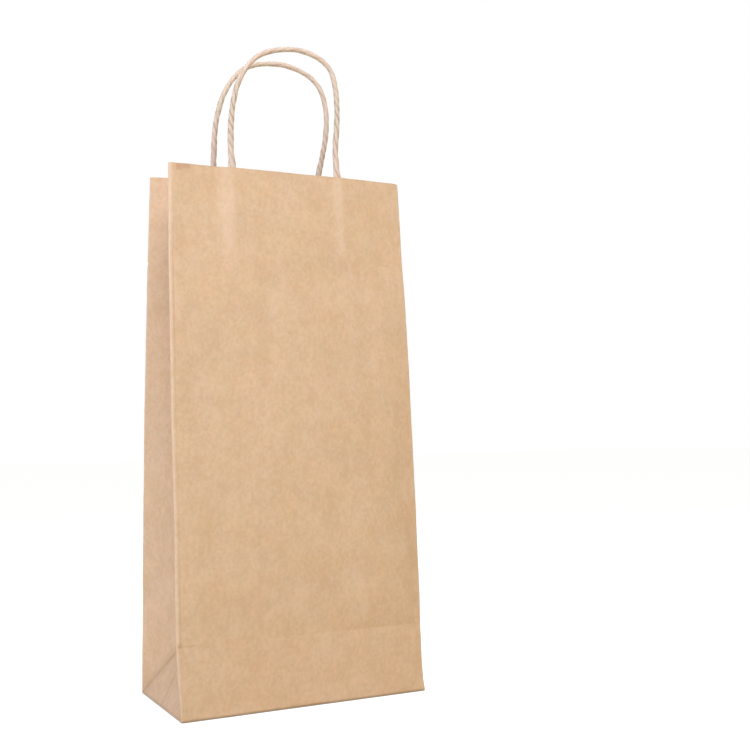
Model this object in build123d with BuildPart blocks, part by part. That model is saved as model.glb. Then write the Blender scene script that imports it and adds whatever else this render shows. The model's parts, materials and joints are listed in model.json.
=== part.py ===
"""Wine gift bag: a block-bottom paper carrier with gusseted sides and two twisted paper handles.

Frame: millimetres, +Z up, +X to the right along the front, the front faces -Y.
The origin is the centre of the footprint, on the surface that the bag stands on.
The mouth stands half open: the tall panels lean in and the side gussets fold inwards.
"""

import os
from math import asin, cos, degrees, pi, radians, sin, sqrt, tan

from build123d import *

# ---- driving dimensions, mm ----
bag_width = 165.0
bag_depth = 90.0
sheet_height = 350.0  # tall panels, measured along the paper
mouth_depth = 45.0  # front to back at the mouth, as it stands
crease_lean_in = 3.5  # how far the front wall has moved in at its cross crease

paper = 0.25
fold_gap = 0.3  # each facet stops this short of a fold line
acute_fold_gap = 1.2  # the same, where a gusset lies close behind a tall panel

flap_overlap = 15.0  # how far each long bottom flap passes the middle
side_flap_reach = 42.0
seam_lap_width = 15.0

cord_diameter = 4.0
handle_spacing = 76.4  # between the two legs of a handle
patch_margin = 1.1  # from the side of a patch to the seam's lap
patch_height = 50.0
patch_drop = 4.0  # from the mouth edge to the top of the patch
patch_paper = 0.25
glued_length = 44.0  # of cord, below the mouth edge
cord_clearance = 0.05  # between a glued cord and the plies round it
leg_gap = 0.5  # between a glued end and the leg that folds over it

# Handle routes as (x, height above the mouth edge), left leg to right leg.
front_route = [
    (-handle_spacing / 2, leg_gap),
    (-38.6, 18.0),
    (-37.9, 39.0),
    (-33.5, 62.0),
    (-22.0, 79.5),
    (-4.5, 87.5),
    (14.5, 89.6),
    (32.0, 83.5),
    (40.0, 65.5),
    (38.4, 42.0),
    (36.9, 19.0),
    (handle_spacing / 2, leg_gap),
]
back_route = [
    (-handle_spacing / 2, leg_gap),
    (-38.0, 20.5),
    (-36.5, 43.0),
    (-29.5, 68.0),
    (-15.5, 86.0),
    (4.0, 92.6),
    (25.0, 92.4),
    (42.5, 83.0),
    (49.5, 63.0),
    (47.3, 40.0),
    (42.0, 18.5),
    (handle_spacing / 2, leg_gap),
]

# ---- fold lines of the paper, as it stands ----
half_depth = bag_depth / 2
cross_crease = half_depth  # along the paper: the bottom closes to the middle of its depth
edge_x = bag_width / 2
mouth_y = mouth_depth / 2
crease_y = half_depth - crease_lean_in
crease_z = sqrt(cross_crease**2 - crease_lean_in**2)
upper_height = sheet_height - cross_crease
# The seam's lap clears the gusset, which turns in at a sharp angle beside it.
lap_outer = edge_x - 2 * acute_fold_gap
patch_width = 2 * (lap_outer - seam_lap_width - patch_margin)
front_lean = asin((crease_y - mouth_y) / upper_height)
back_lean = asin((half_depth - mouth_y) / sheet_height)
wall_lean = asin(crease_lean_in / cross_crease)
front_top_z = crease_z + upper_height * cos(front_lean)
back_top_z = sheet_height * cos(back_lean)

# Gusset crease: its foot is where the bottom's diagonal folds meet, half a depth from each corner.
foot_z = bag_depth * crease_y / (2 * crease_z)
foot_inset = sqrt(half_depth**2 - foot_z**2)


def gusset_crease_top():
    """Inset and height of the gusset crease at the mouth, with the paper at its true length."""
    side_reach = sqrt(half_depth**2 - mouth_y**2)
    across = -foot_inset
    up = (front_top_z + back_top_z) / 2 - foot_z
    apart = sqrt(across**2 + up**2)
    along = (upper_height**2 - side_reach**2 + apart**2) / (2 * apart)
    off = sqrt(upper_height**2 - along**2)
    return foot_inset + (along * across + off * up) / apart, foot_z + (along * up - off * across) / apart


crease_top_inset, crease_top_z = gusset_crease_top()
inside = Vector(0, 0, sheet_height / 4)

# Planes whose X runs along the bag and whose Y runs up the paper; Z points out of the bag.
front_plane = Plane(
    origin=(0, -crease_y, crease_z), x_dir=(1, 0, 0), z_dir=(0, -cos(front_lean), sin(front_lean))
)
back_plane = Plane(
    origin=(0, half_depth, 0), x_dir=(-1, 0, 0), z_dir=(0, cos(back_lean), sin(back_lean))
)
wall_plane = Plane(
    origin=(0, -half_depth, 0), x_dir=(1, 0, 0), z_dir=(0, -cos(wall_lean), sin(wall_lean))
)

names = []


def keep(piece, label):
    """Labels a finished piece and writes its STEP file."""
    piece.label = label
    export_step(piece, f"parts/{label}.step")
    names.append(label)


def sheet(plane, width, low, high, depth=0.0, thickness=paper, centre=0.0):
    """A flat rectangle of paper on a wall's plane, from low to high up the paper and depth inside it."""
    with BuildPart() as piece:
        with BuildSketch(plane.offset(-depth)):
            with Locations((centre, (low + high) / 2)):
                Rectangle(width, high - low)
        extrude(amount=-thickness)
    return piece.part


def facet(corners, gap):
    """A flat polygon of paper, drawn in by gap from its fold lines, with its thickness inside the bag."""
    first, second, third = (Vector(*corner) for corner in corners[:3])
    plane = Plane(origin=first, x_dir=second - first, z_dir=(second - first).cross(third - first))
    outline = [plane.to_local_coords(Vector(*corner)) for corner in corners]
    turned_in = plane.z_dir.dot(inside - first) > 0
    with BuildPart() as piece:
        with BuildSketch(plane):
            with BuildLine():
                Polyline(*[(point.X, point.Y) for point in outline], close=True)
            make_face()
            offset(amount=-gap, kind=Kind.INTERSECTION)
        extrude(amount=paper if turned_in else -paper)
    return piece.part


def section_plane(outer, inner, up):
    """A plane along a gusset's edge, from its panel fold to its crease, with Y into the bag."""
    along = (inner - outer).normalized()
    into = along.cross(up).normalized()
    if into.dot(inside - outer) < 0:
        into = -into
    return Plane(origin=outer + along * acute_fold_gap, x_dir=along, z_dir=along.cross(into))


def gusset_half(low_outer, low_inner, top_outer, top_inner):
    """One half of a side gusset above the bottom folds: a sheet that twists from its foot to the mouth."""
    points = (Vector(*p) for p in (low_outer, low_inner, top_outer, top_inner))
    low_outer, low_inner, top_outer, top_inner = points
    rise = ((top_outer + top_inner) - (low_outer + low_inner)).normalized()
    low_outer, low_inner = low_outer + rise * 2 * fold_gap, low_inner + rise * 2 * fold_gap
    spare = acute_fold_gap + fold_gap
    with BuildPart() as piece:
        with BuildSketch(section_plane(low_outer, low_inner, rise)):
            Rectangle((low_inner - low_outer).length - spare, paper, align=(Align.MIN, Align.MIN))
        with BuildSketch(section_plane(top_outer, top_inner, rise)):
            Rectangle((top_inner - top_outer).length - spare, paper, align=(Align.MIN, Align.MIN))
        loft(ruled=True)
    return piece.part


# ---- tall walls ----
def make_walls():
    """The two tall panels, the front wall below its cross crease and the lengthwise seam."""
    flat_width = bag_width - 2 * fold_gap
    keep(sheet(front_plane, flat_width, fold_gap, upper_height), "front_panel")
    keep(sheet(back_plane, flat_width, fold_gap, sheet_height), "back_panel")
    # The foot of this wall is lifted so that its inner corner just meets the floor.
    floor_line = paper * tan(wall_lean)
    keep(sheet(wall_plane, flat_width, floor_line, cross_crease - fold_gap), "front_lower_wall")
    lap_centre = seam_lap_width / 2 - lap_outer
    lap = sheet(back_plane, seam_lap_width, 4 * fold_gap, sheet_height, paper, paper, lap_centre)
    keep(lap, "seam_lap")


# ---- side gussets ----
def make_gusset(side, name):
    """A side gusset; side is -1 for the left and +1 for the right."""
    front_foot = (side * edge_x, -half_depth, 0)
    back_foot = (side * edge_x, half_depth, 0)
    front_bend = (side * edge_x, -crease_y, crease_z)
    front_top = (side * edge_x, -mouth_y, front_top_z)
    back_top = (side * edge_x, mouth_y, back_top_z)
    crease_foot = (side * (edge_x - foot_inset), 0, foot_z)
    crease_top = (side * (edge_x - crease_top_inset), 0, crease_top_z)
    keep(gusset_half(front_bend, crease_foot, front_top, crease_top), f"{name}_gusset_front_half")
    keep(gusset_half(back_foot, crease_foot, back_top, crease_top), f"{name}_gusset_back_half")
    keep(facet([front_foot, back_foot, crease_foot], fold_gap), f"{name}_gusset_foot")
    keep(facet([front_foot, front_bend, crease_foot], 2 * fold_gap), f"{name}_front_corner")


# ---- closed bottom, from the outermost layer in ----
def make_bottom():
    """Four flaps folded over each other and glued: back, front, then the two side ones."""
    inset = paper + 2 * fold_gap
    flap_width = bag_width - 2 * inset
    reach = half_depth - inset + flap_overlap
    middle = (half_depth - inset - flap_overlap) / 2
    with BuildPart() as back_flap:
        with BuildSketch(Plane.XY):
            with Locations((0, middle)):
                Rectangle(flap_width, reach)
        extrude(amount=paper)
    keep(back_flap.part, "bottom_back_flap")
    with BuildPart() as front_flap:
        with BuildSketch(Plane.XY.offset(paper)):
            with Locations((0, -middle)):
                Rectangle(flap_width, reach)
        extrude(amount=paper)
    keep(front_flap.part, "bottom_front_flap")
    for side, name in ((-1, "left"), (1, "right")):
        outer, inner = side * flap_width / 2, side * (flap_width / 2 - side_flap_reach)
        wide = half_depth - inset
        narrow = max(wide - side_flap_reach, fold_gap)
        with BuildPart() as side_flap:
            with BuildSketch(Plane.XY.offset(2 * paper)):
                with BuildLine():
                    Polyline((outer, -wide), (inner, -narrow), (inner, narrow), (outer, wide), close=True)
                make_face()
            extrude(amount=paper)
        keep(side_flap.part, f"bottom_side_flap_{name}")


# ---- handle patches and glued cord ends ----
cord_radius = cord_diameter / 2
cord_depth = paper + patch_paper + cord_clearance + cord_radius  # from the wall's outer face


def make_patch(plane, top, name):
    """Two plies glued inside a tall panel, with the cord ends between them."""
    high, low = top - patch_drop, top - patch_drop - patch_height
    outer_ply = sheet(plane, patch_width, low, high, paper, patch_paper)
    keep(outer_ply, f"{name}_patch_outer_ply")
    # The inner ply's cross section: flat beside the cords and raised over each of them.
    section = Plane(
        origin=plane.from_local_coords((0, low, -paper - patch_paper)),
        x_dir=plane.x_dir,
        z_dir=plane.y_dir,
    )
    tunnel = cord_radius + cord_clearance
    crest = tunnel + patch_paper
    with BuildPart() as inner_ply:
        with BuildSketch(section):
            with Locations((0, patch_paper / 2)):
                Rectangle(patch_width, patch_paper)
            with Locations((-handle_spacing / 2, tunnel), (handle_spacing / 2, tunnel)):
                Circle(crest)
                Circle(tunnel, mode=Mode.SUBTRACT)
            with Locations((-handle_spacing / 2, 0), (handle_spacing / 2, 0)):
                Rectangle(2 * crest, tunnel, align=(Align.CENTER, Align.MIN))
                Rectangle(2 * tunnel, tunnel, align=(Align.CENTER, Align.MIN), mode=Mode.SUBTRACT)
            with Locations((0, 0)):
                Rectangle(patch_width, crest, align=(Align.CENTER, Align.MAX), mode=Mode.SUBTRACT)
        extrude(amount=patch_height)
    keep(inner_ply.part, f"{name}_patch_inner_ply")
    for across, end in ((-handle_spacing / 2, "left"), (handle_spacing / 2, "right")):
        foot = Plane(
            origin=plane.from_local_coords((across * plane.x_dir.X, top - glued_length, -cord_depth)),
            x_dir=plane.x_dir,
            z_dir=plane.y_dir,
        )
        with BuildPart() as cord_end:
            with BuildSketch(foot):
                Circle(cord_radius)
            extrude(amount=glued_length)
        keep(cord_end.part, f"{name}_cord_end_{end}")


# ---- handles ----
def corner_radii(points):
    """For each corner of a route, the largest arc that leaves a short straight beside it."""
    radii = []
    for before, corner, after in zip(points, points[1:], points[2:]):
        run_in, run_out = corner - before, after - corner
        half_turn = radians(run_in.get_angle(run_out)) / 2
        radii.append(0.45 * min(run_in.length, run_out.length) / tan(half_turn))
    return radii


def make_handle(route, plane, top, name):
    """A cord that rises from one glued end, arches over and comes back down to the other."""
    mouth = plane.from_local_coords((0, top, -cord_depth))
    points = [Vector(x, mouth.Y, mouth.Z + height) for x, height in route]
    radii = corner_radii(points)
    with BuildPart() as handle:
        with BuildLine() as path:
            FilletPolyline(*points, radius=radii)
        with BuildSketch(Plane(origin=path.line @ 0, z_dir=path.line % 0)):
            Circle(cord_radius)
        sweep()
    length = path.wire().length
    share = handle.part.volume / (pi * cord_radius**2 * length)
    print(name, "radii", [round(radius, 1) for radius in radii])
    print(name, "length", round(length, 1), "volume over section times length", round(share, 4))
    keep(handle.part, name)


os.makedirs("parts", exist_ok=True)
make_walls()
make_gusset(-1, "left")
make_gusset(1, "right")
make_bottom()
make_patch(front_plane, upper_height, "front")
make_patch(back_plane, sheet_height, "back")
make_handle(front_route, front_plane, upper_height, "front_handle")
make_handle(back_route, back_plane, sheet_height, "back_handle")
print(len(names), "nodes; leans in degrees", round(degrees(front_lean), 2), round(degrees(back_lean), 2))
print("mouth edge z", round(front_top_z, 2), round(back_top_z, 2))
print("gusset crease", round(foot_inset, 2), round(foot_z, 2), round(crease_top_inset, 2), round(crease_top_z, 2))
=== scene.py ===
"""Looks of the wine gift bag: a creased kraft paper carrier with two twisted paper handles.

Lengths here are millimetres in the CAD's frame (+Z up, the front faces -Y, the bag stands on z = 0).
They become metres where a mesh, a curve or a call to the frame is made.
"""

import json
import math

import bmesh
import bpy
import numpy as np
from mathutils import Matrix, Vector


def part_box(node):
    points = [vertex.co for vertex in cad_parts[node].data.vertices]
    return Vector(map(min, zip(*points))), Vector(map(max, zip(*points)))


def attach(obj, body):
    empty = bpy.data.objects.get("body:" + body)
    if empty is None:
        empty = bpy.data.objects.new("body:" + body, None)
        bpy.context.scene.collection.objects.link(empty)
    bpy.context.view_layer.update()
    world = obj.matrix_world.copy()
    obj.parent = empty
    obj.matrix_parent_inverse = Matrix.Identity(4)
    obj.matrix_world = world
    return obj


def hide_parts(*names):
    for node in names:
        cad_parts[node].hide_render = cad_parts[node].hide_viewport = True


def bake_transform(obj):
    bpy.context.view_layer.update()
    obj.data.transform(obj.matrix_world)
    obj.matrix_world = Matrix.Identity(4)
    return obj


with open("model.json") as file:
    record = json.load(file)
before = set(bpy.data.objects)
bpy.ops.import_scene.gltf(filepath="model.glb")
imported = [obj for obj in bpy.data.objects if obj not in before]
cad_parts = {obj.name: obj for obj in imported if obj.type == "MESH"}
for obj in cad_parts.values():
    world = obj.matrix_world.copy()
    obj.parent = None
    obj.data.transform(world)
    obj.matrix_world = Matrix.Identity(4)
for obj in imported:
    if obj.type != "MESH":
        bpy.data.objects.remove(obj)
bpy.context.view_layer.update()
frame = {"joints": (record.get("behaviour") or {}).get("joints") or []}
mm = 0.001

# ---- sizes and places, from the frame ----
def box(node):
    """The lowest and highest corners of a CAD node."""
    return [np.array(corner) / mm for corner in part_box(node)]


hinges = {joint["name"]: np.array(joint["pos_m"]) / mm for joint in frame["joints"]}
cross_crease, back_foot = hinges["front_panel_lean"], hinges["back_panel_lean"]
front_mouth, back_mouth = hinges["front_handle_fold"], hinges["back_handle_fold"]
front_foot = np.array([0, -back_foot[1], 0])

fold_gap = 0.3  # the CAD facets stop this short of their fold lines
paper = 0.25
half_width = box("back_panel")[1][0] + fold_gap
half_depth = back_foot[1]
sheet_height = np.linalg.norm(back_mouth - back_foot)
crease_height = np.linalg.norm(cross_crease - front_foot)
upper_height = sheet_height - crease_height

patch_half_width = box("front_patch_outer_ply")[1][0]
patch_height = 50.0
patch_drop = 4.0  # from the mouth edge to the patch
handle_x = (box("front_cord_end_right")[0][0] + box("front_cord_end_right")[1][0]) / 2
cord_diameter = box("front_handle")[1][1] - box("front_handle")[0][1]
glued_length = 44.0  # of cord, below the mouth edge
leg_places = {"front": (-39.5, 36.2), "back": (-handle_x, handle_x)}  # where the legs cross the mouth
seam_edge = box("seam_lap")[0][0]

fold_radius, fold_steps = 0.5, 7  # outer radius of a pressed fold, and the faces round it
lap_paper = 0.24  # a little thinner, so that plies that lie on each other never touch
lap_gap, ply_gap, cord_gap = 0.03, 0.02, 0.05  # air between a wall and its lap, its patch and its cords
front_level, side_level = 0.25, 0.5  # of the flaps' outer faces; the back flap lies on the ground
flap_end = box("bottom_back_flap")[0][1]  # a long flap's free edge, past the middle of the bottom
flap_half_width = box("bottom_back_flap")[1][0]
side_flap_reach = box("bottom_side_flap_left")[1][0] - box("bottom_side_flap_left")[0][0]

# How far the side folds stray outwards, at these heights up the paper, and the nicks in them as
# (height, depth, reach).
fold_heights = (0, 45, 110, 200, 280, 350)
flares = {
    "front_left": (0.0, 2.4, 2.0, 2.1, 1.4, -0.1),
    "front_right": (3.3, 2.3, 1.5, 1.4, 1.2, 0.1),
    "back_left": (1.5, 1.6, 1.8, 1.5, 0.9, 0.0),
    "back_right": (1.5, 1.8, 2.2, 2.1, 1.4, 0.2),
}
nicks = {"back_right": (291, 0.5, 1.4), "front_right": (251, 0.4, 1.2)}

# Handle routes above the mouth edge as (x, height), from the left leg to the right leg.
front_route = [
    (-40.0, 17.5), (-39.0, 40.0), (-34.0, 61.5), (-21.5, 79.0), (-4.0, 85.5),
    (13.5, 87.0), (31.5, 80.0), (37.0, 66.0), (38.0, 42.0), (35.5, 19.0),
]
back_route = [
    (-38.5, 20.5), (-37.0, 44.0), (-29.5, 67.5), (-15.5, 84.5), (5.0, 89.5),
    (23.0, 88.5), (41.0, 80.0), (47.5, 62.0), (47.0, 41.0), (42.0, 18.5),
]


# ---- small geometry helpers ----
def unit(vectors):
    """Vectors scaled to length 1."""
    vectors = np.asarray(vectors, float)
    return vectors / np.maximum(np.linalg.norm(vectors, axis=-1, keepdims=True), 1e-12)


def runs_along(line):
    """How far along a line each of its points lies."""
    return np.concatenate([[0], np.cumsum(np.linalg.norm(np.diff(line, axis=0), axis=1))])


def away(points, start, end):
    """Distances of points from the straight line through start and end."""
    return np.linalg.norm(np.cross(points - start, unit(end - start)), axis=-1)


def bell(values, centre, width):
    """A smooth hump of height 1 at centre, about width wide on each side."""
    return np.exp(-(((values - centre) / width) ** 2))


def step(values, start, end):
    """0 before start, 1 after end, and a smooth rise between them."""
    share = np.clip((values - start) / (end - start), 0, 1)
    return share * share * (3 - 2 * share)


def ripple(across, along, wavelength, seed):
    """A smooth random surface between about -1 and 1, the same on every run."""
    draw = np.random.default_rng(seed)
    height = np.zeros(np.broadcast(across, along).shape)
    for _ in range(7):
        heading = draw.uniform(0, math.pi)
        length = wavelength * draw.uniform(0.7, 1.6)
        turn = draw.uniform(0, 2 * math.pi)
        travel = across * math.cos(heading) + along * math.sin(heading)
        height += np.sin(travel * 2 * math.pi / length + turn)
    return height / 3.5


def graded(knots, spacing, ends=0.2):
    """Positions through all the knots, about spacing apart, and closer by the share ends near a knot."""
    places = [knots[:1]]
    for low, high in zip(knots, knots[1:]):
        count = max(int(math.ceil((high - low) / spacing)), 2)
        share = np.arange(1, count + 1) / count
        eased = share - (1 - ends) * np.sin(2 * math.pi * share) / (2 * math.pi)
        places.append(low + (high - low) * eased)
    return np.concatenate(places)


def grid_normals(grid, hint):
    """Unit normals of a grid of points, on the side that hint points to."""
    normals = np.cross(np.gradient(grid, axis=1), np.gradient(grid, axis=0))
    size = np.linalg.norm(normals, axis=-1, keepdims=True)
    normals = np.where(size > 1e-9, normals / np.maximum(size, 1e-12), 0)
    flat = normals.reshape(-1, 3)
    lost = np.linalg.norm(flat, axis=1) < 0.5
    flat[lost] = unit(flat[~lost].mean(0))
    sign = 1 if (flat @ np.asarray(hint, float)).mean() > 0 else -1
    return flat.reshape(grid.shape) * sign


def new_object(name, data):
    """A new object in the scene."""
    made = bpy.data.objects.new(name, data)
    bpy.context.scene.collection.objects.link(made)
    return made


def mesh_object(name, points, faces, fields, slot):
    """A mesh object with per-vertex fields and its slot's material; its faces are turned outwards."""
    mesh = bpy.data.meshes.new(name)
    mesh.from_pydata([tuple(point) for point in points * mm], [], faces)
    for field, values in fields.items():
        layer = mesh.attributes.new(field, "FLOAT", "POINT")
        layer.data.foreach_set("value", np.asarray(values, np.float32).ravel())
    work = bmesh.new()
    work.from_mesh(mesh)
    bmesh.ops.remove_doubles(work, verts=work.verts, dist=1e-6)
    bmesh.ops.recalc_face_normals(work, faces=work.faces)
    work.to_mesh(mesh)
    work.free()
    mesh.shade_smooth()
    mesh.set_sharp_from_angle(angle=math.radians(50))
    mesh.materials.append(materials[slot])
    made = new_object(name, mesh)
    return made


def paper_sheet(name, grid, hint, inward=None, thickness=paper, slot="bag_paper", **fields):
    """A closed sheet of paper from a grid of points on its outer face; hint points out of that face.

    inward holds the way to the inner face at each point, where the sheet's own normal won't do."""
    rows, columns = grid.shape[:2]
    if inward is None:
        inward = -grid_normals(grid, hint)
    points = np.concatenate([grid.reshape(-1, 3), (grid + inward * thickness).reshape(-1, 3)])
    index = np.arange(rows * columns).reshape(rows, columns)
    outer = np.stack([index[:-1, :-1], index[:-1, 1:], index[1:, 1:], index[1:, :-1]], -1).reshape(-1, 4)
    inner = outer[:, ::-1] + rows * columns
    rim = np.concatenate([index[0, :-1], index[:-1, -1], index[-1, :0:-1], index[:0:-1, 0]])
    after = np.roll(rim, -1)
    edge = np.stack([after, rim, rim + rows * columns, after + rows * columns], -1)
    faces = np.concatenate([outer, inner, edge]).tolist()
    for field in ("wear", "press", "stain"):
        fields[field] = np.tile(np.ravel(fields.get(field, np.zeros((rows, columns)))), 2)
    return mesh_object(name, points, faces, fields, slot)


# ---- materials ----
def srgb(red, green, blue):
    """A colour given as 0 to 255 on a screen, in Blender's linear values."""
    return tuple(((value / 255 + 0.055) / 1.055) ** 2.4 for value in (red, green, blue)) + (1.0,)


def set_inputs(tree, node, inputs):
    """Each of the inputs gets its value, or is linked to another node's output."""
    for key, value in dict(inputs).items():
        if isinstance(value, bpy.types.NodeSocket):
            tree.links.new(value, node.inputs[key])
        else:
            node.inputs[key].default_value = value


def add_node(tree, kind, inputs=(), output=0, **settings):
    """The output of a new shader node."""
    made = tree.nodes.new("ShaderNode" + kind)
    for key, value in settings.items():
        setattr(made, key, value)
    set_inputs(tree, made, inputs)
    return made.outputs[output]


class Shader:
    """A node material being built, with a short call for each kind of node."""

    def __init__(self, name):
        self.material = bpy.data.materials.new(name)
        self.material.use_nodes = True
        self.tree = self.material.node_tree
        self.place = self.node("TexCoord", output="Object")

    def node(self, kind, inputs=(), **settings):
        return add_node(self.tree, kind, inputs, **settings)

    def stretched(self, scale, turn=(0, 0, 0), place=None):
        return self.node("Mapping", {"Vector": place or self.place, "Scale": scale, "Rotation": turn})

    def noise(self, scale, detail=2.0, roughness=0.5, place=None):
        inputs = {"Vector": place or self.place, "Scale": scale, "Detail": detail, "Roughness": roughness}
        return self.node("TexNoise", inputs, output="Fac")

    def ranged(self, value, low, high, new_low, new_high):
        return self.node("MapRange", {0: value, 1: low, 2: high, 3: new_low, 4: new_high})

    def times(self, first, second):
        return self.node("Math", {0: first, 1: second}, operation="MULTIPLY")

    def weighted(self, first, *rest):
        """The sum of values, each given as (value, weight)."""
        total = self.times(*first)
        for part in rest:
            total = self.node("Math", {0: total, 1: self.times(*part)}, operation="ADD")
        return total

    def field(self, name):
        return self.node("Attribute", output="Fac", attribute_name=name)

    def mixed(self, amount, first, second, blend="MIX"):
        inputs = {0: amount, 6: first, 7: second}
        return self.node("Mix", inputs, output=2, data_type="RGBA", blend_type=blend)

    def tinted(self, colour, value, low, high, first, second):
        """The colour times a tint that goes from first to second as value goes from low to high."""
        tint = self.mixed(self.ranged(value, low, high, 0, 1), (*first, 1), (*second, 1))
        return self.mixed(1.0, colour, tint, "MULTIPLY")

    def bumped(self, height, strength, distance):
        return self.node("Bump", {"Height": height, "Strength": strength, "Distance": distance})

    def finish(self, colour, roughness, normal):
        looks = {"Base Color": colour, "Roughness": roughness, "Normal": normal}
        looks |= {"Specular IOR Level": 0.25, "Sheen Weight": 0.06, "Sheen Roughness": 0.6}
        set_inputs(self.tree, self.tree.nodes["Principled BSDF"], looks)
        return self.material


dark_speck, pale_speck = srgb(165, 126, 88), srgb(238, 210, 178)
# Pressed marks and painted shade darken towards the first colour; a darker patch takes the second.
pressed_and_shaded_colour, dark_patch_colour = srgb(146, 116, 78), srgb(207, 164, 133)


def kraft_paper(name, base, shade, light, wear_and_highlight_colour):
    """Uncoated kraft: cloudy fibres, streaks up the sheet, specks, worn pale folds, painted highlights,
    pressed marks and painted shade.
    """
    s = Shader(name)
    yellowness = s.weighted((s.noise(55, 3, 0.6), 1.0), (s.noise(190, 2, 0.6), 1.0))
    redness = s.weighted((s.noise(47, 3, 0.6), 1.0), (s.noise(160, 2, 0.6), 1.0))
    clouds = s.noise(1.0, 3, 0.62, s.stretched((150, 150, 110)))
    flocs = s.noise(1.0, 3, 0.6, s.stretched((420, 420, 360)))
    streaks = s.noise(1.0, 3, 0.6, s.stretched((900, 900, 60)))
    fibres = s.noise(1.0, 3, 0.7, s.stretched((2600, 2600, 1300), (0.3, 0.5, 0.2)))
    formation = s.weighted((flocs, 0.7), (clouds, 0.5), (s.noise(60, 2, 0.5), 0.35), (streaks, 0.06))
    colour = s.mixed(s.ranged(formation, 0.655, 0.955, 0, 1), shade, light)
    colour = s.mixed(0.55, colour, base)
    colour = s.tinted(colour, yellowness, 0.75, 1.25, (1.0, 1.0, 0.96), (1.0, 1.0, 1.04))
    colour = s.tinted(colour, redness, 0.75, 1.25, (0.98, 1.0, 1.0), (1.02, 0.997, 0.99))
    colour = s.mixed(s.ranged(fibres, 0.3, 0.7, 0, 0.12), colour, shade)
    colour = s.mixed(s.ranged(s.noise(520, 1, 0.4), 0.72, 0.80, 0, 0.22), colour, dark_speck)
    lengthened = s.stretched((1, 1, 0.6), (0.9, 0.2, 0.4))
    colour = s.mixed(s.ranged(s.noise(450, 1, 0.4, lengthened), 0.70, 0.79, 0, 0.22), colour, pale_speck)
    # Pressed marks, and painted shade in grooves, creases, hollows and along the ground, darken the paper.
    colour = s.mixed(s.times(s.field("press"), 0.6), colour, pressed_and_shaded_colour)
    # A darker patch and a faint line by the front's mouth edge.
    colour = s.mixed(s.field("stain"), colour, dark_patch_colour)
    # Worn folds, and painted highlights over ridges and beside the left front fold, pale the paper.
    worn_and_highlighted = s.times(s.field("wear"), s.ranged(s.noise(260, 3), 0.3, 0.62, 0.4, 1.0))
    colour = s.mixed(worn_and_highlighted, colour, wear_and_highlight_colour)
    roughness = s.ranged(flocs, 0.3, 0.7, 0.78, 0.92)
    relief = s.weighted((fibres, 0.5), (flocs, 0.8), (streaks, 0.25))
    return s.finish(colour, roughness, s.bumped(relief, 0.35, 0.00018))


def cord_paper(name):
    """Paper twisted to a cord: creased along its plies, with painted shade in its creases and grooves and
    a painted highlight in the arch.
    """
    s = Shader(name)
    along = s.node("CombineXYZ", {"X": s.field("run"), "Y": s.field("round"), "Z": s.field("ply")})
    creases = s.noise(1.0, 3, 0.65, s.stretched((0.12, 9.0, 5.0), place=along))
    clouds = s.noise(200, 3, 0.6)
    fine = s.noise(1500, 2, 0.6)
    drift = s.noise(70, 2, 0.5)
    colour = s.mixed(s.ranged(clouds, 0.35, 0.65, 0, 1), srgb(221, 195, 176), srgb(230, 208, 191))
    colour = s.tinted(colour, drift, 0.35, 0.65, (0.94, 1.0, 0.98), (1.04, 0.975, 1.0))
    # Painted shade in the hollows of the creases.
    colour = s.mixed(s.ranged(creases, 0.32, 0.68, 0.45, 0), colour, srgb(203, 174, 152))
    colour = s.mixed(s.ranged(fine, 0.35, 0.7, 0, 0.15), colour, srgb(242, 224, 206))
    # Painted shade in the grooves between the plies.
    shaded = s.times(s.field("groove"), s.ranged(s.noise(90, 2, 0.5), 0.4, 0.6, 0.3, 1.0))
    colour = s.mixed(shaded, colour, srgb(172, 138, 115))
    # A painted highlight in the arch.
    colour = s.mixed(s.times(s.field("wear"), 0.4), colour, srgb(238, 212, 196))
    relief = s.weighted((creases, 1.0), (fine, 0.08))
    roughness = s.ranged(creases, 0.3, 0.7, 0.68, 0.86)
    return s.finish(colour, roughness, s.bumped(relief, 0.12, 0.0003))


materials = {
    "bag_paper": kraft_paper(
        "bag_kraft", srgb(225, 188, 154), srgb(208, 168, 132), srgb(233, 199, 168), srgb(238, 208, 184)
    ),
    "patch_paper": kraft_paper(
        "patch_kraft", srgb(214, 179, 142), srgb(198, 160, 121), srgb(226, 193, 157), srgb(238, 210, 178)
    ),
    "twisted_cord": cord_paper("cord_kraft"),
}


# ---- camera ----
def make_camera():
    """The camera stands low, to the left of the bag's front, and looks slightly up."""
    yaw, pitch, roll = (math.radians(angle) for angle in (26.32, 2.85, -0.88))
    ahead = Vector((math.sin(yaw) * math.cos(pitch), math.cos(yaw) * math.cos(pitch), math.sin(pitch)))
    level = Vector((math.cos(yaw), -math.sin(yaw), 0))
    above = level.cross(ahead)
    right = math.cos(roll) * level + math.sin(roll) * above
    top = -math.sin(roll) * level + math.cos(roll) * above
    data = bpy.data.cameras.new("camera")
    data.sensor_width = 36.0
    data.lens = 52.43
    data.clip_start, data.clip_end = 0.01, 20
    camera = new_object("camera", data)
    place = Matrix.Translation(Vector((-272.28, -699.62, 176.17)) * mm)
    camera.matrix_world = place @ Matrix((right, top, -ahead)).transposed().to_4x4()
    bpy.context.scene.camera = camera


make_camera()


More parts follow.
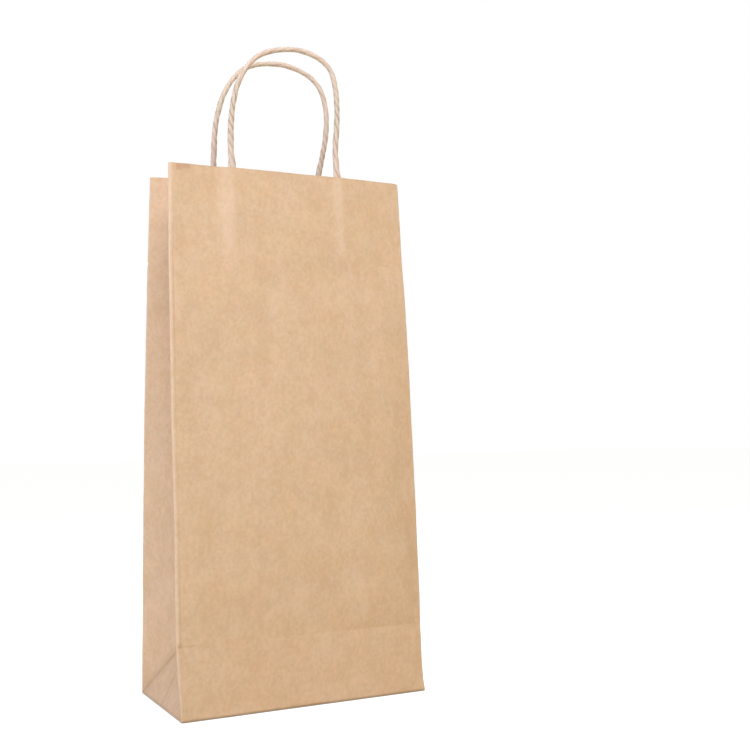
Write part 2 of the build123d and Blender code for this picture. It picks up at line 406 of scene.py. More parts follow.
# ---- walls ----
class Wall:
    """The front or the back. corners are its fold lines' places from foot to mouth, side is +1 where X
    runs rightwards as seen from outside and else -1, and shape is how far it stands out from flat."""

    def __init__(self, name, corners, side, shape):
        self.name = name
        self.corners = np.array(corners, float)
        self.side = side
        self.shape = shape
        self.heights = runs_along(self.corners)

    def rise(self, up):
        """The direction up the paper at heights up it."""
        piece = np.clip(np.searchsorted(self.heights, up, side="right") - 1, 0, len(self.heights) - 2)
        return unit(self.corners[piece + 1] - self.corners[piece])

    def outward(self, up):
        """The direction out of the bag."""
        return self.rise(up)[..., [0, 2, 1]] * (0, -self.side, self.side)

    def place(self, across, up, depth):
        """Points across the wall (rightwards from outside), up the paper, and depth inside its face."""
        y, z = (np.interp(up, self.heights, self.corners[:, axis]) for axis in (1, 2))
        base = np.stack([self.side * across + 0 * up, y, z], -1)
        return base - self.outward(up) * np.asarray(depth)[..., None]


# ---- how the tall walls stray from flat ----
band_width = 2.5  # from the left front fold to the groove pressed beside it
# Waves are (height, wavelength), a ridge is (crest, left reach, right reach, height, foot), and a hollow
# is (across, reach across, up, reach up).
front_waves, back_waves = ((0.4, 120), (0.12, 34), (0.03, 10)), ((0.5, 110), (0.10, 31), (0.02, 9))
front_ridges = ((-38.3, 8, 1.3, 0.55, 294), (37.6, 3.2, 4.0, 0.5, 304))
back_ridges = ((-37.9, 5, 1.8, 0.4, 296), (38.4, 2.0, 6.0, 0.4, 298))
front_hollows = ((-18.5, 6, 238, 50), (51, 7, 236, 58))


def free_middle(across):
    """1 in the loose middle of a wall, 0 at its side folds."""
    return step(half_width - np.abs(across), 2, 16)


def waves(across, up, sizes, seed):
    """How far a loose sheet waves in and out, below its mouth edge."""
    height = 0 * across
    for turn, (amount, wavelength) in enumerate(sizes):
        height += amount * ripple(across, up, wavelength, seed + turn) * free_middle(across)
    return height * step(-up, -sheet_height, -sheet_height + 40)


def cord_ridges(across, up, ridges):
    """How far the glued cords push a wall out."""
    height = 0 * across
    for crest, left_reach, right_reach, amount, foot in ridges:
        beside = bell(across, crest, np.where(across < crest, left_reach, right_reach))
        height += amount * beside * step(up, foot - 16, foot + 12)
    return height


def patch_swell(across, up, low, slant, left_side, right_side):
    """How much the patch and its cords hold a wall out, from 0 to 1. A side is where the swell starts
    and is full; the soft lower edge slants from low."""
    edge = low + slant * across
    risen = step(across, *left_side) * step(-across, -right_side[1], -right_side[0])
    return step(up, edge - 16, edge + 6) * risen


def front_band(across, up):
    """1 on the rounded strip between the left front fold and its groove, above the cross crease."""
    above = up - crease_height
    return step(band_width - across - half_width, -0.2, 0.5) * step(above, -0.5, 2)


def front_groove(across, up):
    """1 in the groove beside the left front fold, which fades towards the mouth."""
    line = band_width + 0.15 * np.sin(up / 31) - half_width
    depth = (0.75 + 0.25 * np.sin(up / 47 + 1.0)) * (1 - step(up, 260, 340))
    return depth * bell(across, line, 0.55) * step(up, crease_height - 1, crease_height + 2)


def front_bulge(across, up):
    """How far the front's loose middle swings out above the cross crease, most at the right."""
    above = np.maximum(up - crease_height, 0)
    rightwards = 0.35 + 0.65 * step(across, -60, 20) - 0.45 * step(across, 60, 84)
    swing = 0.14 * above * np.exp(-above / 95) * rightwards
    swing += 0.2 * above * np.exp(-above / 20) * step(across, 25, 50) * step(-across, -81, -74)
    swing += (1 - (across / half_width) ** 2) * bell(up, 150, 70)
    return swing * step(-up, -305, -250)


def front_shape(across, up):
    """How far the front stands out from its flat facets."""
    height = waves(across, up, front_waves, 3) + front_bulge(across, up)
    height += 1.3 * patch_swell(across, up, 291, 0.07, (-52, -37), (42, 70))
    height += 0.5 * bell(up, 283 + 0.35 * (across + 38), 7) * bell(across, -42, 6)
    height += cord_ridges(across, up, front_ridges)
    for place, reach, middle, length in front_hollows:
        height -= 0.7 * bell(across, place, reach) * bell(up, middle, length) * free_middle(across)
    # The right end of the wall below the cross crease is pressed in.
    height -= 1.7 * (np.maximum(across - 58, 0) / 24) ** 2 * bell(up, 16, 20) * step(up, 0, 8)
    rounded = 0.06 * np.clip(band_width - across - half_width, 0, band_width) ** 2
    rounded *= step(up, crease_height - 1, crease_height + 3)
    return height - rounded - 0.18 * front_groove(across, up)


def back_shape(across, up):
    """How far the back stands out from flat; across runs rightwards as seen from behind."""
    height = waves(across, up, back_waves, 7)
    height += 0.9 * patch_swell(across, up, 292, -0.04, (-60, -39), (40, 62))
    height += cord_ridges(across, up, back_ridges)
    # The seam's lap lies under the edge that is at the left, as seen from behind.
    height += lap_paper * step(-across, seam_edge - 1.0, seam_edge + 0.4)
    height -= 0.6 * bell(across, 20, 9) * bell(up, 225, 60)
    return height + 0.6 * bell(up, 70, 32) * free_middle(across)


front_wall = Wall("front", [front_foot, cross_crease, front_mouth], 1, front_shape)
back_wall = Wall("back", [back_foot, back_mouth], -1, back_shape)


# ---- handles ----
flat_width, flat_depth = 1.5, 0.7  # of the cord where it is pressed between the patch's plies
cord_radius = cord_diameter / 2
cord_seat = 2 * paper + cord_gap + cord_radius  # depth of the cord's centre in the wall
pressed_seat = cord_seat - cord_radius * (1 - flat_depth)
tail = 12.0  # of the handle piece, below the mouth edge
ply_count, ply_turn = 3, 25.0  # a ply goes once round the cord in ply_turn
cord_spacing, cord_points = 0.45, 48  # from ring to ring of points along a cord, and points in a ring


def flattened(height):
    """1 where a cord is pressed flat, 0 where it is round; height is above the mouth edge."""
    return 0.8 * (1 - step(height, -2, 9)) + 0.2 * (1 - step(height, 6, 40))


def tail_line(wall, x, up):
    """Points along a pressed cord end, which keeps its seat where the wall strays from flat."""
    across = wall.side * x + 0 * up
    return wall.place(across, up, pressed_seat - wall.shape(across, up))


def smooth_line(name, controls):
    """Points along the smooth curve that its control points steer."""
    data = bpy.data.curves.new(name, "CURVE")
    data.dimensions = "3D"
    data.resolution_u = 24
    spline = data.splines.new("NURBS")
    spline.points.add(len(controls) - 1)
    for point, control in zip(spline.points, controls):
        point.co = (*(control * mm), 1.0)
    spline.order_u = 3
    spline.use_endpoint_u = True
    holder = new_object(name, data)
    bpy.context.view_layer.update()
    mesh = bpy.data.meshes.new_from_object(holder)
    line = np.array([vertex.co for vertex in mesh.vertices]) / mm
    bpy.data.objects.remove(holder)
    bpy.data.meshes.remove(mesh)
    return line


def route_line(wall, mouth, route):
    """Even points along a handle, from one tail inside the patch to the other, and their runs."""
    tail_heights = sheet_height - np.array([tail, tail / 2, 0.0])
    left, right = (tail_line(wall, x, tail_heights) for x in leg_places[wall.name])
    loop = [(x, mouth[1], mouth[2] + height) for x, height in route]
    line = smooth_line(f"{wall.name}_handle_route", np.concatenate([left, loop, right[::-1]]))
    runs = runs_along(line)
    even = np.linspace(0, runs[-1], int(runs[-1] / cord_spacing))
    return np.stack([np.interp(even, runs, line[:, i]) for i in range(3)], -1), even


def ply_twist(run, pressed, phases):
    """How far the plies have gone round along a cord: unevenly, and less where it is pressed."""
    pace = 1 + 0.3 * np.sin(run / 23 + phases[0]) + 0.2 * np.sin(run / 9.7 + phases[1])
    pace *= 1 - 0.3 * pressed
    turned = np.concatenate([[0], np.cumsum(np.diff(run) * (pace[1:] + pace[:-1]) / 2)])
    return turned * 2 * math.pi / ply_turn


def ply_radius(run, share, ply, bulge, arch, phases):
    """A cord's radius: uneven and finely creased, and thinner and smoother in the arch. share is the
    place across a ply, and bulge the ply's roundness there."""
    size = 1 + 0.035 * np.sin(run / 5.1 + phases[3]) + 0.03 * np.sin(run / 2.3 + phases[4])
    size = size + 0.03 * np.sin(run / 7.5 + ply * 2.1 + phases[5])
    size *= 0.97 - 0.09 * arch
    creases = 0.02 * np.sin(share * 4.6 * math.pi + run / 6 + ply * 1.7)
    creases += 0.012 * np.sin(share * 9 * math.pi - run / 3.1 + ply)
    grooved = 1 - (0.16 - 0.09 * arch) * (1 - bulge)
    return cord_radius * (grooved + creases * bulge * (1 - 0.7 * arch)) * size


def closed_tube(name, line, skin, fields):
    """A cord's mesh from rings of points round a line, closed at both ends."""
    count, ring = skin.shape[:2]
    points = np.concatenate([skin.reshape(-1, 3), line[:1], line[-1:]])
    index = np.arange(count * ring).reshape(count, ring)
    after = np.roll(index, -1, axis=1)
    faces = np.stack([index[:-1], after[:-1], after[1:], index[1:]], -1).reshape(-1, 4).tolist()
    faces += [[count * ring, after[0, i], index[0, i]] for i in range(ring)]
    faces += [[count * ring + 1, index[-1, i], after[-1, i]] for i in range(ring)]
    for field, values in fields.items():
        fields[field] = np.append(np.broadcast_to(values, (count, ring)), [0, 0])
    return mesh_object(name, points, faces, fields, "twisted_cord")


def twisted_tube(name, line, run, heights, seed):
    """Plies twisted to a cord, as one closed skin with grooves between them."""
    phases = np.random.default_rng(seed).uniform(0, 2 * math.pi, 8)
    pressed = flattened(heights)
    arch = step(heights, 40, 75)[:, None]
    angle = np.linspace(0, 2 * math.pi, cord_points, endpoint=False)
    spin = angle + ply_twist(run, pressed, phases)[:, None] + phases[2]
    ply, share = np.divmod(spin * ply_count / (2 * math.pi), 1)
    ply = np.mod(ply, ply_count)
    bulge = np.sqrt(0.05 + 0.95 * np.sin(math.pi * share) ** 2)
    radius = ply_radius(run[:, None], share, ply, bulge, arch, phases)
    wide = radius * np.cos(angle) * (1 + (flat_width - 1) * pressed[:, None])
    deep = radius * np.sin(angle) * (1 - (1 - flat_depth) * pressed[:, None])
    ahead = unit(np.gradient(line, axis=0))
    width_way = unit(np.cross(np.array([0.0, 1.0, 0.0]), ahead))
    depth_way = np.cross(ahead, width_way)
    skin = line[:, None] + width_way[:, None] * wide[..., None] + depth_way[:, None] * deep[..., None]
    # Where painted shade goes between the plies, and a painted highlight on the arch.
    groove = np.clip(1.5 - bulge / 0.4, 0, 1) * (1 - 0.15 * arch)
    fields = {"run": run[:, None], "round": share, "ply": ply, "groove": groove, "wear": arch**2}
    return closed_tube(name, line, skin, fields)


def make_handle(wall, route, seed):
    """A handle's free loop with two tails, and its glued ends pressed inside the patch."""
    body = wall.name
    mouth = wall.place(0.0, sheet_height, cord_seat)
    line, run = route_line(wall, mouth, route)
    handle = twisted_tube(f"{body}_handle_cord", line, run, line[:, 2] - mouth[2], seed)
    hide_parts(f"{body}_handle")
    pivot = wall.corners[-1]
    start, end = pivot - 3 * wall.rise(sheet_height), pivot + [0, 0, 5]
    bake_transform(handle)
    # The glued ends reach half a millimetre into the tails.
    below = np.arange(tail - 0.5, glued_length, 0.5)[::-1]
    up = sheet_height - below
    for x, side in zip(leg_places[body], ("left", "right")):
        line = tail_line(wall, x, up)
        end = twisted_tube(f"{body}_glued_end_{side}", line, up - up[0], -below, seed + 5)
        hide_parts(f"{body}_cord_end_{side}")
        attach(end, body)


make_handle(front_wall, front_route, 11)
make_handle(back_wall, back_route, 23)


# ---- the tall sheets ----
fold_strip = 6.0  # beside each side fold, where the points lie close
fold_shade, fold_shade_reach = 0.26, 3.2  # how dark and wide the painted shade along a gusset's lower folds is


def fold_turn(edge, into, outward, towards):
    """Points round a pressed fold and the way out of the paper at each: the fold leaves the sheet at
    edge + into * fold_radius and ends running towards."""
    edge, into, outward = np.broadcast_arrays(edge, into, outward)
    last = np.arccos(np.clip(-(unit(towards) * into).sum(-1), -1, 1))
    centre = edge + into * fold_radius - outward * fold_radius
    angles = last[:, None] * np.linspace(0, 1, fold_steps + 1)[1:]
    facing = np.cos(angles)[..., None] * outward[:, None] - np.sin(angles)[..., None] * into[:, None]
    return centre[:, None] + fold_radius * facing, facing


def mouth_dip(across, up, right_dip):
    """The cut at the mouth isn't quite straight, and its corners are a little rounded."""
    dip = 0.10 * ripple(across, 0 * across, 40, 31) + 0.04 * ripple(across, 0 * across, 9, 32) + 0.12
    dip += right_dip * step(across, half_width - 3.2, half_width) ** 2
    dip += 0.25 * step(-across, half_width - 1.5, half_width) ** 2
    return dip * step(up, sheet_height - 12, sheet_height)


def flared(name, up):
    """How far a side fold lies outside its straight line, at heights up the paper."""
    smoothed = [np.interp(up + shift, fold_heights, flares[name]) for shift in (-9, -4, 0, 4, 9)]
    wander = 0.10 * ripple(up, 0 * up, 60, len(name)) + 0.04 * ripple(up, 0 * up, 14, len(name) + 1)
    height, depth, reach = nicks.get(name, (0, 0, 1))
    return np.mean(smoothed, 0) + wander - depth * bell(up, height, reach)


def spread(wall, across, up):
    """Places across a wall whose side folds stray outwards."""
    left = flared(f"{wall.name}_left", up) * np.maximum(-across, 0)
    right = flared(f"{wall.name}_right", up) * np.maximum(across, 0)
    return across + (right - left) / half_width


def wall_grid(wall, rows, columns, right_dip, depth=0):
    """Points at a depth in a tall wall, and the wall's flat coordinates there."""
    across, up = np.meshgrid(columns, rows)
    lowered = up - mouth_dip(across, up, right_dip)
    return wall.place(spread(wall, across, up), lowered, depth - wall.shape(across, up)), across, up


def fold_columns(wall, rows, edge_column, sign, targets):
    """Columns of points round a tall wall's side fold; sign is +1 for the left and -1 for the right."""
    into = np.array([wall.side * sign, 0.0, 0.0])
    edge = edge_column - into * fold_radius
    rise = wall.rise(rows)
    towards = targets - edge
    towards -= rise * (towards * rise).sum(-1, keepdims=True)
    return fold_turn(edge, into, wall.outward(rows), towards)


def tall_sheet(wall, rows, left_targets, right_targets, right_dip, fold_wear, marks):
    """One tall wall with its side folds turned towards the gussets; gives it and its outermost columns.

    The targets are the points that each row's gusset runs to; a wall with no left targets is cut there.
    right_dip is how far the mouth's right corner dips, and fold_wear is the left and right folds' wear."""
    first = -half_width + (0.12 if left_targets is None else fold_radius)
    strip_end = -half_width + fold_strip
    columns = graded([first, strip_end, half_width - fold_strip, half_width - fold_radius], 1.9)
    fine = np.concatenate([np.arange(first, strip_end, 0.24), np.arange(strip_end, -66, 0.6)])
    columns = np.concatenate([fine, columns[columns > fine[-1] + 0.2]])
    face, across, up = wall_grid(wall, rows, columns, right_dip)
    facing = grid_normals(face, wall.outward(rows)[0])
    left, left_facing = face[:, :0], facing[:, :0]
    if left_targets is not None:
        left, left_facing = fold_columns(wall, rows, face[:, 0], 1, left_targets)
    right, right_facing = fold_columns(wall, rows, face[:, -1], -1, right_targets)
    grid = np.concatenate([left[:, ::-1], face, right], 1)
    facing = np.concatenate([left_facing[:, ::-1], facing, right_facing], 1)
    start = left.shape[1]
    flat = slice(start, start + face.shape[1])
    wear = np.full(grid.shape[:2], fold_wear[1])
    wear[:, :start] = fold_wear[0]
    from_fold = half_width - np.abs(across)
    wear[:, flat] = np.where(across < 0, *fold_wear) * (1 - step(from_fold, 0.5, 1.2))
    press, stain = np.zeros(wear.shape), np.zeros(wear.shape)
    # The marks bring painted highlights and painted shade as well as wear, pressed marks and a darker
    # patch.
    extra_wear_and_highlight, press[:, flat], stain[:, flat] = marks(across, up)
    wear[:, flat] += extra_wear_and_highlight
    piece = paper_sheet(
        f"{wall.name}_sheet", grid, wall.outward(rows)[0], -facing,
        wear=np.clip(wear, 0, 1), press=np.clip(press, 0, 1), stain=stain,
    )
    return piece, {"left": grid[:, 0], "right": grid[:, -1]}


def front_marks(across, up):
    """Where the front has wear and painted highlights, pressed marks and painted shade, and a darker
    patch.
    """
    above, below = up - crease_height, up - sheet_height
    from_left = across + half_width
    # Pale: painted highlights over the right cord and over the patch between the cords.
    wear = 0.42 * bell(across, 36.0, 2.6) * step(up, 285, 312)
    wear += 0.36 * step(across, -54, -40) * step(-across, 36.2, 38.2) * step(up, 286, 306)
    # Wear with a painted highlight on the strip beside the left fold, and wear at its foot.
    wear += (0.3 + 0.3 * step(up, 270, 330)) * front_band(across, up)
    wear += 0.35 * bell(from_left, 0.8, 1.0) * step(-above, -1, 1) * step(up, 9, 14)
    # Dark: painted shade in the groove, at the cross crease's left end and along the mouth edge.
    press = 0.4 * front_groove(across, up) + 0.45 * bell(from_left, 2.0, 1.4) * bell(above, 0.6, 1.6)
    press += 0.2 * bell(above, 0.3, 0.7) * step(-across, 62, 76)
    press += 0.12 * step(below, -1.2, -0.3)
    # Two pressed tears, then painted shade along the foot where it meets the ground, and in two hollows.
    tears = bell(from_left, 1.9, 0.3) * bell(up, 7.5, 1.6)
    tears += bell(from_left, 3.6, 0.35) * bell(up, 6.5, 1.5)
    press += 0.6 * tears + 0.8 * (1 - step(up, 0.9, 1.9))
    press += 0.08 * bell(across, -19, 3) * bell(up, 240, 34)
    press += 0.05 * bell(across, 49, 3) * bell(up, 236, 40)
    # A darker patch hangs from the mouth edge beside the left fold, and a faint line runs on from it.
    depth = 4.2 - 0.1 * (across + 77.4)
    stain = step(across, -77.9, -77.1) * step(-across, 67.8, 68.6) * step(below + depth, -0.3, 0.3)
    line = step(across, -68.4, -67.8) * step(-across, 53, 60) * step(below, -1.3, -0.7)
    return wear, press, stain + 0.35 * line


def back_marks(across, up):
    """The back's rubbed and pressed places: only the lap's edge shows."""
    return 0 * across, 0.2 * bell(-across, seam_edge - 0.6, 0.5), 0 * across


# ---- gusset folds ----
def gusset_points():
    """Inset and height of a gusset's centre crease at its foot and mouth, so that no paper stretches."""
    # The crease's foot is half_depth from the middle of the bottom edge and from the cross crease.
    foot_z = half_depth * -cross_crease[1] / cross_crease[2]
    foot_inset = math.sqrt(half_depth**2 - foot_z**2)
    # At the mouth it is half_depth from both corners and upper_height from its foot: two circles meet.
    side_reach = math.sqrt(half_depth**2 - back_mouth[1] ** 2)
    across = -foot_inset
    up = (front_mouth[2] + back_mouth[2]) / 2 - foot_z
    apart = math.hypot(across, up)
    along = (upper_height**2 - side_reach**2 + apart**2) / (2 * apart)
    off = math.sqrt(upper_height**2 - along**2)
    top_inset = foot_inset + (along * across + off * up) / apart
    return foot_inset, foot_z, top_inset, foot_z + (along * up - off * across) / apart


foot_inset, foot_z, top_inset, top_z = gusset_points()


def crease_point(side, share):
    """Points on a gusset's centre crease, from its foot at share 0 to the mouth; side -1 is the left."""
    share = np.asarray(share, float)[..., None]
    foot = np.array([side * (half_width - foot_inset), 0, foot_z])
    top = np.array([side * (half_width - top_inset), 0, top_z])
    return foot + (top - foot) * np.clip(share, 0, 1)


patch_foot = sheet_height - patch_drop - patch_height
front_rows = graded([front_level + fold_radius, crease_height, patch_foot - 2, sheet_height], 2.1)
back_rows = graded([fold_radius, patch_foot - 2, sheet_height], 2.1)
front_shares = (front_rows - crease_height) / upper_height
back_shares = (back_rows - back_rows[0]) / (sheet_height - back_rows[0])

front_sheet, front_ends = tall_sheet(
    front_wall, front_rows, crease_point(-1, front_shares), crease_point(1, front_shares),
    0.9, (0.3, 0.15), front_marks,
)
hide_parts("front_panel", "front_lower_wall")
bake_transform(front_sheet)

back_sheet, back_ends = tall_sheet(
    back_wall, back_rows, None, crease_point(-1, back_shares), 0.4, (0.1, 0.3), back_marks
)
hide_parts("back_panel")
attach(back_sheet, "back")


lap_depth = paper + lap_gap  # the seam's lap lies against the back wall's inner face


def seam_fold():
    """The right gusset's own fold, from the seam's lap round to the gusset."""
    columns = np.array([1.6, 1.2, 0.9, fold_radius]) - half_width
    lap = wall_grid(back_wall, back_rows, columns, 0, lap_depth)[0]
    lap_facing = np.broadcast_to(back_wall.outward(back_rows)[:, None], lap.shape)
    ring, facing = fold_columns(back_wall, back_rows, lap[:, -1], 1, crease_point(1, back_shares))
    return np.concatenate([lap, ring], 1), np.concatenate([lap_facing, facing], 1)


lap_rows = back_rows[back_rows > 1.8]  # clear of the bottom flap's fold, which it would meet as it leans
lap_grid = wall_grid(back_wall, lap_rows, np.linspace(-seam_edge, 1.5 - half_width, 12), 0, lap_depth)[0]
seam_lap = paper_sheet("seam_glued_lap", lap_grid, (0, 1, 0), thickness=lap_paper)
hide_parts("seam_lap")
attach(seam_lap, "back")


# ---- gussets ----
tuck_depth = 0.32  # just over a paper's thickness


def evened(points, reach=9):
    """Points along a fold, without its nicks and small waves."""
    longer = np.pad(points, ((reach, reach), (0, 0)), mode="reflect", reflect_type="odd")
    return np.mean([longer[i : i + len(points)] for i in range(2 * reach + 1)], 0)


def gusset_face(outer, inner, shares, along, side, seed):
    """The outer face of half a gusset, from its folded edge to the centre crease: a little full, with a
    soft hollow near its foot."""
    steady, share = evened(outer), along[:, None]
    grid = steady[:, None] * (1 - share) + inner[:, None] * share
    grid += (outer - steady)[:, None] * np.exp(-share / 0.07)
    width, height = along * half_depth, shares[:, None] * upper_height
    window = np.sin(math.pi * along) ** 0.8 * step(height, 0, 25)
    bulge = window * (0.5 * ripple(width, height, 90, seed) + 0.12 * ripple(width, height, 26, seed + 1))
    bulge -= 0.5 * window * bell(height, 25, 26) * bell(width, 18, 11)
    bulge += 0.35 * bell(along, 0.5, 0.3) * step(height, 20, 60)
    return grid + grid_normals(grid, (side, 0, 0)) * bulge[..., None]


def tucked_rows(fold, inward, along, tuck_to):
    """Two rows below a half's lowest one, fold, that slip in behind the paper below."""
    taper = np.sqrt(np.clip(np.sin(math.pi * along), 0, 1))[:, None]
    line = unit(fold[-1] - fold[0])
    down = tuck_to - fold
    down = unit(down - line * (down @ line)[:, None])
    behind = fold + inward * tuck_depth * taper
    return np.stack([behind + (down + inward * 0.05) * taper, behind])


def with_tuck(rows):
    """Values for a half's rows, with the lowest one's for the two rows tucked in below it."""
    return np.concatenate([rows[:1], rows[:1], rows])


def gusset_half(name, side, body, outer, shares, tuck_to, seed, collar=None):
    """One half of a gusset above the bottom folds, with its foot tucked in behind the corner below it.
    outer is the tall wall's folded edge, row by row, and shares are how far up the gusset's crease each
    row ends. A collar is columns of points outside the half's fold, and the way out there."""
    inner = crease_point(side, shares)
    along = graded([0.0, 0.12, 0.88, 1.0], 0.045)
    grid = gusset_face(outer, inner, shares, along, side, seed)
    inward = -grid_normals(grid, (side, 0, 0))
    mitre = np.array([-side, 0.0, 0.0])
    inward[:, -1] = mitre / np.maximum(inward[:, -1] @ mitre, 0.3)[:, None]
    fold = grid[0]
    grid = np.concatenate([tucked_rows(fold, inward[0], along, tuck_to), grid])
    inward = with_tuck(inward)
    wear = np.broadcast_to(0.4 * bell(along, 1.0, 0.02) + 0.35 * bell(along, 0, 0.02), grid.shape[:2])
    from_fold = away(grid, fold[0], fold[-1])
    # Painted shade beside the centre crease and along the fold to the foot.
    press = 0.25 * bell(along, 0.97, 0.02) + fold_shade * bell(from_fold, 0, fold_shade_reach)
    if collar is not None:
        points, out = (with_tuck(part)[:, :-1] for part in collar)
        grid, inward = np.concatenate([points, grid], 1), np.concatenate([-out, inward], 1)
        added = ((0, 0), (points.shape[1], 0))
        wear, press = np.pad(wear, added, constant_values=0.5), np.pad(press, added)
    piece = paper_sheet(f"{name}_gusset_{body}", grid, (side, 0, 0), inward, wear=wear, press=press)
    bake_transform(piece)
    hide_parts(f"{name}_gusset_{body}_half")


def flap_sheet(name, edge, into, outward, towards, reach, rows, narrowing, wear=0.0, press=0.0):
    """A flap along the ground with the fold that it hangs from (see fold_turn), and its top points.
    narrowing gives its size along X, Y and Z at a share of its reach; wear and press are the fold's."""
    ring, facing = fold_turn(edge, into, outward, towards)
    shares = np.linspace(0, 1, rows)[1:]
    flat = [(ring[:, -1] + towards * reach * share) * narrowing(share) for share in shares]
    grid = np.array([edge + into * fold_radius, *ring.swapaxes(0, 1), *flat])
    outward, down = (np.broadcast_to(way, edge.shape) for way in (outward, (0, 0, -1.0)))
    ways = np.array([outward, *facing.swapaxes(0, 1), *[down] * len(flat)])
    fold = np.zeros(grid.shape[:2])
    fold[: fold_steps + 1] = 1
    piece = paper_sheet(name, grid, (0, 0, -1), -ways, lap_paper, wear=wear * fold, press=press * fold)
    return piece, grid[0]


def bottom_edge(side, along):
    """Points on the fold between a gusset's foot and its side flap, at the places along in Y."""
    folds = ("front_right", "back_left") if side > 0 else ("front_left", "back_right")
    front_out, back_out = (flared(fold, 0.0) for fold in folds)
    share = (along + half_depth) / (2 * half_depth)
    out = half_width + front_out + (back_out - front_out) * share
    return np.stack([side * out, along, side_level + 0 * along], -1)


def side_flap(name, side):
    """The bottom's innermost flap on one side, folded up to the gusset; gives its top points."""
    end = half_depth - 0.5
    along = graded([-end, -0.6, 0.6, end], 1.9, 0.35)
    edge = bottom_edge(side, along)
    apex = crease_point(side, 0.0)
    into = unit([apex[0] - side * half_width, 0, apex[2]])
    outward = np.array([side * into[2], 0, -side * into[0]])
    towards = np.array([-side, 0.0, 0.0])

    def narrowing(share):
        return np.array([1, (end - 0.4 - (side_flap_reach - 0.6) * share) / end, 1])

    piece, top = flap_sheet(
        f"{name}_side_flap", edge, into, outward, towards, side_flap_reach, 22, narrowing, wear=0.5
    )
    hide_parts(f"bottom_side_flap_{name}")
    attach(piece, "base")
    return top


def gusset_foot(name, side, front_edge, bottom, back_corner):
    """A gusset's folded foot: a fan of paper from the crease's foot to the front fold, the bottom edge
    and the back corner, with a crease down its middle."""
    rim = np.concatenate([front_edge[::-1], bottom, back_corner[None]])
    apex = crease_point(side, 0.0)
    reach = graded([0.0, 0.5, 1.0], 0.045, 0.5)
    grid = apex + (rim - apex) * reach[:, None, None]
    corner = len(front_edge)
    on_foot = np.arange(len(rim)) >= corner
    middle = on_foot * (1 - np.clip(np.abs(rim[:, 1]) / half_depth, 0, 1))
    dent = 0.9 * middle * np.sin(math.pi * reach)[:, None]
    # The middle crease gets a slight dent and painted shade.
    mark = bell(grid[..., 1], 0, 1.4) * on_foot * step(reach, 0.1, 0.3)[:, None]
    inward = np.array([-side * 0.92, 0, -0.38])
    grid += inward * (dent + 0.15 * mark * step(1 - reach, 0, 0.05)[:, None])[..., None]
    press = 0.25 * mark
    # Painted shade along the two folds from the crease's foot, and along the ground.
    for end in (rim[0], rim[-1]):
        press = np.maximum(press, fold_shade * bell(away(grid, apex, end), 0, fold_shade_reach))
    press = np.maximum(press, 0.7 * (1 - step(grid[..., 2], 1.0, 2.2)))
    wear = np.zeros(press.shape)
    wear[:, corner - 1 : corner + 1] = 0.4
    piece = paper_sheet(f"{name}_gusset_foot_fold", grid, (side, 0, 0), wear=wear, press=press)
    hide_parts(f"{name}_gusset_foot", f"{name}_front_corner")
    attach(piece, "base")


def make_gusset(name, side, behind):
    """A gusset's halves and foot, and its side flap. behind is the side's name as seen from behind."""
    middle = np.array([side * half_width, 0.0, 0.0])
    front_edge, back_edge, collar = front_ends[name], back_ends[behind], None
    if side > 0:  # the back sheet is cut there, and the gusset brings its own fold
        collar = seam_fold()
        back_edge = collar[0][:, -1]
    upper = front_rows >= crease_height - 1e-6
    corner = middle + front_foot
    gusset_half(name, side, "front", front_edge[upper], front_shares[upper], corner, 60 + side)
    gusset_half(name, side, "back", back_edge, back_shares, middle, 70 + side, collar)
    bottom = side_flap(name, side)
    front_lower = front_edge[front_rows <= crease_height + 1e-6]
    gusset_foot(name, side, front_lower, bottom, back_edge[0])


make_gusset("left", -1, "right")
make_gusset("right", 1, "left")


# ---- bottom flaps ----
def bottom_flap(wall, level):
    """A long bottom flap, with its fold up to a tall wall's foot."""
    columns = graded([-half_width + 0.4, half_width - 0.4], 2.2, 0.5)
    up = 0 * columns + level
    edge = wall.place(spread(wall, columns, up), up, 0 * up)
    towards = np.array([0, wall.side, 0.0])
    reach = half_depth - flap_end - fold_radius

    def narrowing(share):
        return np.array([1 - (1 - flap_half_width / half_width) * step(share, 0, 0.08), 1, 1])

    # The fold gets painted shade along the ground.
    piece, _ = flap_sheet(
        f"{wall.name}_bottom_flap", edge, wall.rise(up), wall.outward(up), towards, reach, 30, narrowing,
        press=0.8,
    )
    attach(piece, "base")
    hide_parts(f"bottom_{wall.name}_flap")


bottom_flap(front_wall, front_level)
bottom_flap(back_wall, 0.0)


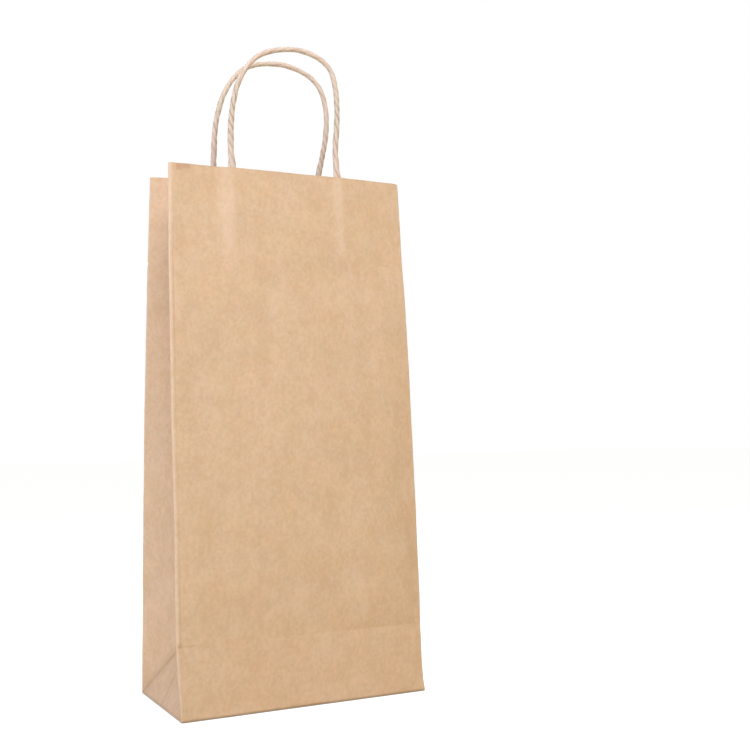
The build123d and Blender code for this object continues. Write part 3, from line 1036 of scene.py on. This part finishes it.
# ---- handle patches ----
def patch_ply(wall, ply, depth, thickness, over_cords):
    """A ply of a patch, which follows its wall; with over_cords 1 it rises over the glued cord ends."""
    legs = sorted(wall.side * x for x in leg_places[wall.name])
    knots = [leg + shift for leg in legs for shift in (-7.0, 0, 7.0)]
    columns = graded([-patch_half_width] + knots + [patch_half_width], 1.7, 0.6)
    rows = graded([patch_foot, patch_foot + 8, sheet_height - patch_drop], 1.8, 0.7)
    across, up = np.meshgrid(columns, rows)
    beside = np.min([np.abs(across - leg) for leg in legs], 0)
    cord_foot = sheet_height - glued_length
    raised = (1 - step(beside, 2.0, 5.2)) * step(up, cord_foot - 6, cord_foot)
    pressed_cord = cord_diameter * flat_depth + 0.12
    cord_depth = pressed_cord + (cord_diameter - pressed_cord) * (1 - flattened(up - sheet_height))
    rise = 0.04 * ripple(across, up, 22, 77) + raised * cord_depth
    grid = wall.place(across, up, depth - wall.shape(across, up) + over_cords * rise)
    # Pale over the cords' raised sides and darker beside them: a painted highlight and painted shade.
    wear = 0.25 * over_cords * bell(beside, 2.6, 0.8) * raised
    press = 0.3 * over_cords * bell(beside, 4.8, 0.8) * raised
    piece = paper_sheet(
        f"{wall.name}_patch_{ply}", grid, wall.outward(up)[0, 0], thickness=thickness, slot="patch_paper",
        wear=wear, press=press,
    )
    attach(piece, wall.name)
    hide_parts(f"{wall.name}_patch_{ply}_ply")


for wall in (front_wall, back_wall):
    patch_ply(wall, "outer", paper + ply_gap, 0.2, 0)
    patch_ply(wall, "inner", 2 * paper + ply_gap, paper, 1)


# ---- floor, lights and background ----
def camera_or_glossy(tree):
    """1 for what the camera sees directly or in a reflection."""
    seen = add_node(tree, "LightPath", output="Is Camera Ray")
    mirrored = add_node(tree, "LightPath", output="Is Glossy Ray")
    return add_node(tree, "Math", {0: seen, 1: mirrored}, operation="MAXIMUM")


def make_floor():
    """A white floor that keeps the bag's shadow; what the camera sees of it is lifted to white."""
    bpy.ops.mesh.primitive_plane_add(size=12)
    floor = bpy.context.object
    floor.name = "floor"
    material = bpy.data.materials.new("floor_white")
    material.use_nodes = True
    tree = material.node_tree
    bounce = add_node(tree, "BsdfDiffuse", {"Color": (0.86, 0.8, 0.6, 1)})
    dim = add_node(tree, "BsdfDiffuse", {"Color": (0.3, 0.3, 0.3, 1)})
    # The glow dims within 4 mm of the bag: a contact shadow drawn from ambient occlusion.
    near = add_node(tree, "AmbientOcclusion", {"Distance": 0.004}, "AO")
    openness = add_node(tree, "MapRange", {0: near, 1: 0.25, 2: 0.75, 3: 0.15, 4: 0.9})
    glow = add_node(tree, "Emission", {"Strength": openness})
    lifted = add_node(tree, "AddShader", {0: dim, 1: glow})
    shown = add_node(tree, "MixShader", {0: camera_or_glossy(tree), 1: bounce, 2: lifted})
    set_inputs(tree, tree.nodes["Material Output"], {"Surface": shown})
    floor.data.materials.append(material)


def make_world():
    """White to the camera, and a plain soft light on the bag."""
    world = bpy.data.worlds.new("studio")
    bpy.context.scene.world = world
    world.use_nodes = True
    tree = world.node_tree
    inputs = {0: camera_or_glossy(tree), 6: (0.315, 0.31, 0.262, 1), 7: (1, 1, 1, 1)}
    colour = add_node(tree, "Mix", inputs, 2, data_type="RGBA")
    set_inputs(tree, tree.nodes["Background"], {"Color": colour})


def make_lamp(name, place, size, power, colour=(1, 1, 1)):
    """A square soft light at place, in metres, that faces the middle of the bag."""
    data = bpy.data.lights.new(name, "AREA")
    data.size = size
    data.energy = power
    data.color = colour
    lamp = new_object(name, data)
    lamp.location = place
    lamp.rotation_mode = "QUATERNION"
    lamp.rotation_quaternion = (Vector((0, 0, 0.2)) - Vector(place)).to_track_quat("-Z", "Y")


make_floor()
make_world()
make_lamp("key_light", (-0.05, -0.72, 1.08), size=0.6, power=8.6, colour=(0.955, 0.99, 1.055))
make_lamp("side_light", (-0.9, -0.2, 0.35), size=0.4, power=3.25, colour=(0.8, 0.98, 1.37))
make_lamp("rear_fill", (0.6, 1.0, 0.8), size=0.8, power=7.0)
bpy.context.scene.view_settings.view_transform = "Standard"
